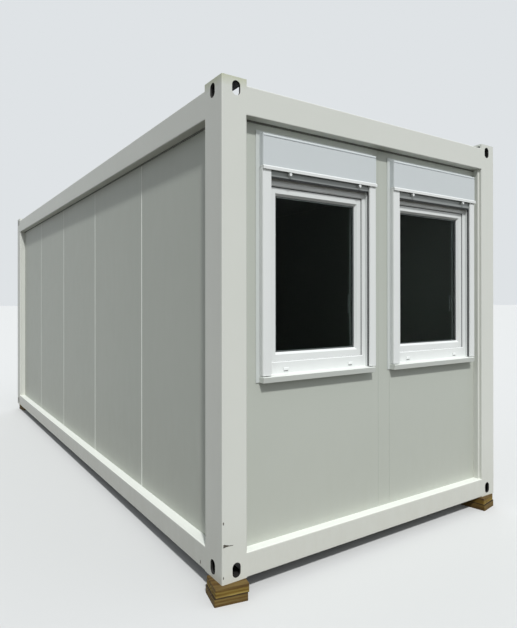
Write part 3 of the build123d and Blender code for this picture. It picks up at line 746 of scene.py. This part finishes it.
# Tilt-and-turn handles on the room side of the sashes, their levers hanging down when shut
def makeWindowHandles():
    roseWidth, roseDepth, roseHeight = windowHandle["rose"]
    neck, stand = windowHandle["neck"], windowHandle["stand"]
    leverWidth, leverDepth = windowHandle["leverWidth"], windowHandle["leverDepth"]
    pivot = windowHandle["top"] - leverWidth / 2
    for side in sides:
        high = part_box("window_sash_" + side)[1]
        middle = (high.x - windowHandle["inset"], high.y + roseDepth / 2, pivot)
        handle = addPrimitive("cube", "window_handle_" + side, middle, windowHandle["rose"], size=1)
        pick(handle, "FACE", lambda point, normal: normal.y > along)
        bpy.ops.mesh.inset(thickness=(roseWidth - neck) / 2)
        bpy.ops.transform.resize(value=(1, 1, neck / (roseHeight - roseWidth + neck)))
        extrudeBy(0, stand - leverDepth, 0)
        extrudeBy(0, leverDepth, 0)
        leverFront = high.y + roseDepth + stand - leverDepth
        pick(handle, "FACE", lambda point, normal: normal.z < -along and point.y > leverFront)
        extrudeBy(0, 0, windowHandle["foot"] - pivot + neck / 2)
        bpy.ops.transform.resize(value=(leverWidth / neck, 1, 1))
        roundEdges(handle, windowHandle["rounding"], 3)
        finishPiece(handle, materials["window_pvc"])


makeDrainCaps()
makeWindowHandles()
print("window fittings made")

cornerSeal = {
    "height": 0.010,
    "stand": 0.006,
    "rounding": 0.8,
}


# A grey-green bead in the corner under the roof rails, all round the walls, partly a seal and partly painted
# shade for the gap there
def makeCornerSealsAndShade():
    cornerShade = coatedSurface("corner_bead_painted_shade")
    height, stand = cornerSeal["height"], cornerSeal["stand"]
    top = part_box("roof_rail_front")[0].z
    postLeft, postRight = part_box("corner_post_front_left")[1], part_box("corner_post_rear_right")[0]
    frontWall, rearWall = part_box("front_fillers")[0].y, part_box("rear_wall_panel")[1].y
    leftWall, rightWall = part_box("left_wall_panels")[0].x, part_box("right_wall_panels")[1].x
    width, length = (postLeft.x, postRight.x), (postLeft.y, postRight.y)
    # Each run's span in X and in Y, the axis that its wall faces along, and where that wall is
    runs = {
        "front": (width, (frontWall - stand, frontWall), 1, frontWall),
        "rear": (width, (rearWall, rearWall + stand), 1, rearWall),
        "left": ((leftWall - stand, leftWall), length, 0, leftWall),
        "right": ((rightWall, rightWall + stand), length, 0, rightWall),
    }
    for side, (spanX, spanY, wallAxis, wall) in runs.items():
        bead = addPrimitive(
            "cube", "corner_seal_and_shade_" + side, (sum(spanX) / 2, sum(spanY) / 2, top - height / 2),
            (spanX[1] - spanX[0], spanY[1] - spanY[0], height), size=1)
        pick(bead, "EDGE", lambda point, way: abs(way[1 - wallAxis]) > along
             and abs(point[wallAxis] - wall) > near and point.z < top - near)
        bpy.ops.mesh.bevel(offset=stand * cornerSeal["rounding"], segments=4)
        finishPiece(bead, cornerShade)


makeCornerSealsAndShade()
print("corner seals made")

roofScrew = {
    "rows": (-1.02, -0.34, 0.34, 1.02),
    "ribs": 24,
    "ribPitch": 0.230,
    "washer": 0.008,
    "washerThickness": 0.002,
    "head": 0.0042,
    "headHeight": 0.005,
    "corners": 12,
}


# Self-drilling screws with washers, four on top of every roof rib, modelled once and repeated
def makeRoofScrews():
    rows, ribs, pitch = roofScrew["rows"], roofScrew["ribs"], roofScrew["ribPitch"]
    thickness = roofScrew["washerThickness"]
    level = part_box("roof_sheet")[1].z + thickness / 2
    first = addPrimitive(
        "cylinder", "roof_screws", (rows[0], (0.5 - ribs / 2) * pitch, level), (1, 1, 1),
        vertices=roofScrew["corners"], radius=roofScrew["washer"], depth=thickness)
    pick(first, "FACE", lambda point, normal: normal.z > along)
    bpy.ops.mesh.inset(thickness=roofScrew["washer"] - roofScrew["head"])
    extrudeBy(0, 0, roofScrew["headHeight"])
    finishPiece(first, materials["galvanised"])
    shifts = [(row - rows[0], rib * pitch, 0) for row in rows for rib in range(ribs)]
    repeatPiece(first, shifts[1:])  # the first screw stands in its place already


makeRoofScrews()
print("roof screws made")

doorFittings = {
    "plateDepth": 0.008,  # the handle's plate stands this far out of the leaf
    "cylinderInset": 0.0225,  # from the plate's edge
    "cylinderDrop": 0.072,  # below the lever
    "cylinderRadius": 0.0085,
    "cylinderStand": 0.004,
    "cylinderRounding": 0.0006,
    "keyholeRim": 0.35,
    "keyholeShare": 0.25,
    "keyholeDepth": 0.6,
    "hingeDepth": 0.003,
    "hingePitch": 0.770,
    "screwRadius": 0.0045,
    "screwStand": 0.0012,
    "screwSpread": (0.021, 0.033),
    "socketRim": 0.5,
    "socketDepth": 0.7,
}


# The lock cylinder in the door's plate
def makeLockCylinder():
    low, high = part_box("door_handle")
    radius, stand = doorFittings["cylinderRadius"], doorFittings["cylinderStand"]
    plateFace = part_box("door_leaf")[1].y + doorFittings["plateDepth"]
    place = (high.x - doorFittings["cylinderInset"], plateFace + stand / 2,
             (low.z + high.z) / 2 - doorFittings["cylinderDrop"])
    cylinder = addPrimitive("cylinder", "lock_cylinder", place, (1, 1, 1), vertices=24,
                            radius=radius, depth=stand, rotation=(math.pi / 2, 0, 0))
    pick(cylinder, "FACE", lambda point, normal: normal.y > along)
    bpy.ops.mesh.inset(thickness=radius * doorFittings["keyholeRim"])
    bpy.ops.transform.resize(value=(doorFittings["keyholeShare"], 1, 1))
    extrudeBy(0, -stand * doorFittings["keyholeDepth"], 0)
    roundEdges(cylinder, doorFittings["cylinderRounding"])
    finishPiece(cylinder, materials["handle"])


# Four socket screws in each of the three hinges, modelled once and repeated
def makeHingeScrews():
    low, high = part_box("door_hinges")
    radius, stand = doorFittings["screwRadius"], doorFittings["screwStand"]
    spreadX, spreadZ = doorFittings["screwSpread"]
    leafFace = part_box("door_leaf")[1].y + doorFittings["hingeDepth"]
    place = ((low.x + high.x) / 2 - spreadX, leafFace + stand / 2, (low.z + high.z) / 2 - spreadZ)
    first = addPrimitive("cylinder", "hinge_screws", place, (1, 1, 1), vertices=16,
                         radius=radius, depth=stand, rotation=(math.pi / 2, 0, 0))
    pick(first, "FACE", lambda point, normal: normal.y > along)
    bpy.ops.mesh.inset(thickness=radius * doorFittings["socketRim"])
    extrudeBy(0, -stand * doorFittings["socketDepth"], 0)
    finishPiece(first, materials["handle"])
    shifts = [(across, 0, up + hinge * doorFittings["hingePitch"])
              for hinge in (0, -1, 1) for across in (0, 2 * spreadX) for up in (0, 2 * spreadZ)]
    repeatPiece(first, shifts[1:])  # the first screw stands in its place already


makeLockCylinder()
makeHingeScrews()
print("door fittings made")

chips = {
    # Place across and up the face, size across and up, tilt in degrees
    "front": (
        ("upper", -1.2095, 0.414, 0.007, 0.016, 0),
        ("comma_head", -1.2035, 0.2945, 0.020, 0.017, 0),
        ("comma_neck", -1.1915, 0.2930, 0.032, 0.0100, 8),
        ("comma_tail", -1.1690, 0.2893, 0.044, 0.0042, 6),
        ("lower", -1.2095, 0.128, 0.006, 0.014, 0)),
    "side": (("side", -2.781, 0.117, 0.010, 0.022, 0),),
    "corners": 14,
    "raggedness": 0.12,  # share of the smaller size
    "ragSeed": 3,
    "stand": 0.0004,
    "thickness": 1.5,  # times the stand, so that the back is in the post
}


# Chips in the paint at the foot of the near post, as thin ragged flakes of bare steel
def makeChips():
    steel = coatedSurface("chipped_steel")
    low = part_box("corner_post_front_left")[0]
    for name, across, up, width, height, tilt in chips["front"] + chips["side"]:
        onSide = name == "side"
        middle = (low.x, across, up) if onSide else (across, low.y, up)
        turn = (math.pi / 2, 0, -math.pi / 2) if onSide else (math.pi / 2, 0, 0)
        chip = addPrimitive("circle", "paint_chip_" + name, middle, (width, height, 1),
                            vertices=chips["corners"], radius=0.5, fill_type="NGON", rotation=turn)
        pick(chip, "FACE", lambda point, normal: True)
        bpy.ops.mesh.select_mode(type="VERT")
        ragged = min(width, height) * chips["raggedness"]
        bpy.ops.transform.vertex_random(offset=ragged, seed=chips["ragSeed"])
        bpy.ops.transform.rotate(value=math.radians(-tilt), orient_axis="Y", center_override=middle)
        inward = Vector((1, 0, 0)) if onSide else Vector((0, 1, 0))
        bpy.ops.mesh.select_all(action="SELECT")
        bpy.ops.transform.translate(value=-chips["stand"] * inward)
        extrudeBy(*(chips["thickness"] * chips["stand"] * inward))
        finishPiece(chip, steel)


makeChips()
print("paint chips made")

stage = {
    "floorSize": 400,
    "floorColour": "595650",
    "shownFloor": "D3D4D3",
    "backdrop": "DFE3E6",
    "skyColour": "E9EEF4",
    "skyStrength": 0.56,
    # Share of full light, degrees to the left of the window end, height, and how wide its disc is.
    # The last one reaches only the rear end and the right side.
    "lamps": {
        "sun": (0.89, 21, 50, 4),
        "fill": (0.16, -20, 30, 100),
        "rear": (0.30, 215, 10, 60),
    },
}


# What the camera, a reflection or a look through glass sees of the stage, apart from its light
def seenRay(tree):
    path = addNode(tree, "LightPath", {})
    mirrored = addNode(tree, "Math", {
        0: (path, "Is Camera Ray"), 1: (path, "Is Glossy Ray")}, operation="MAXIMUM")
    return addNode(tree, "Math", {
        0: (mirrored, "Value"), 1: (path, "Is Transmission Ray")}, operation="MAXIMUM")


def makeFloor():
    bpy.ops.object.select_all(action="DESELECT")
    bpy.ops.mesh.primitive_plane_add(size=stage["floorSize"], location=(0, 0, 0))
    floor = bpy.context.object
    floor.name = "studio_floor"
    material, tree = newMaterial("studio_floor")
    seen = seenRay(tree)
    paint = addNode(tree, "Mix", {
        0: (seen, "Value"), 6: colour(stage["floorColour"]), 7: colour(stage["shownFloor"])},
        data_type="RGBA")
    surface = addNode(tree, "BsdfDiffuse", {"Color": (paint, 2)})
    addNode(tree, "OutputMaterial", {"Surface": (surface, "BSDF")})
    floor.data.materials.append(material)


def makeLight():
    world = bpy.data.worlds.new("studio")
    bpy.context.scene.world = world
    world.use_nodes = True
    tree = world.node_tree
    tree.nodes.clear()
    seen = seenRay(tree)
    sky = addNode(tree, "Background", {
        "Color": colour(stage["skyColour"]), "Strength": stage["skyStrength"]})
    backdrop = addNode(tree, "Background", {"Color": colour(stage["backdrop"]), "Strength": 1.0})
    both = addNode(tree, "MixShader", {
        0: (seen, "Value"), 1: (sky, "Background"), 2: (backdrop, "Background")})
    addNode(tree, "OutputWorld", {"Surface": (both, "Shader")})
    for name, (share, turn, height, size) in stage["lamps"].items():
        bpy.ops.object.light_add(type="SUN", location=(-2, -8, 8))
        light = bpy.context.object
        light.name = name + "_light"
        light.data.energy = share * math.pi
        light.data.angle = math.radians(size)
        light.rotation_euler = (math.radians(90 - height), 0, math.radians(-turn))


camera = {
    "place": (-2.6017, -5.4425, 1.5841),
    "turn": 33.634,  # degrees from straight along the cabin towards the right
    "pitch": 0.071,
    "roll": 0.047,
    "lens": 30.342,
    "shiftX": 0.00207,
    "shiftY": -0.02139,
    "farthest": 500,
}


def makeCamera():
    bpy.ops.object.camera_add(location=camera["place"])
    eye = bpy.context.object
    eye.name = "photo_camera"
    eye.rotation_euler = (
        math.radians(90 + camera["pitch"]), math.radians(camera["roll"]), math.radians(-camera["turn"]))
    eye.data.lens = camera["lens"]
    eye.data.shift_x = camera["shiftX"]
    eye.data.shift_y = camera["shiftY"]
    eye.data.clip_end = camera["farthest"]
    bpy.context.scene.camera = eye


makeFloor()
makeLight()
makeCamera()
bpy.context.scene.view_settings.view_transform = "Standard"
print("stage, light and camera set")
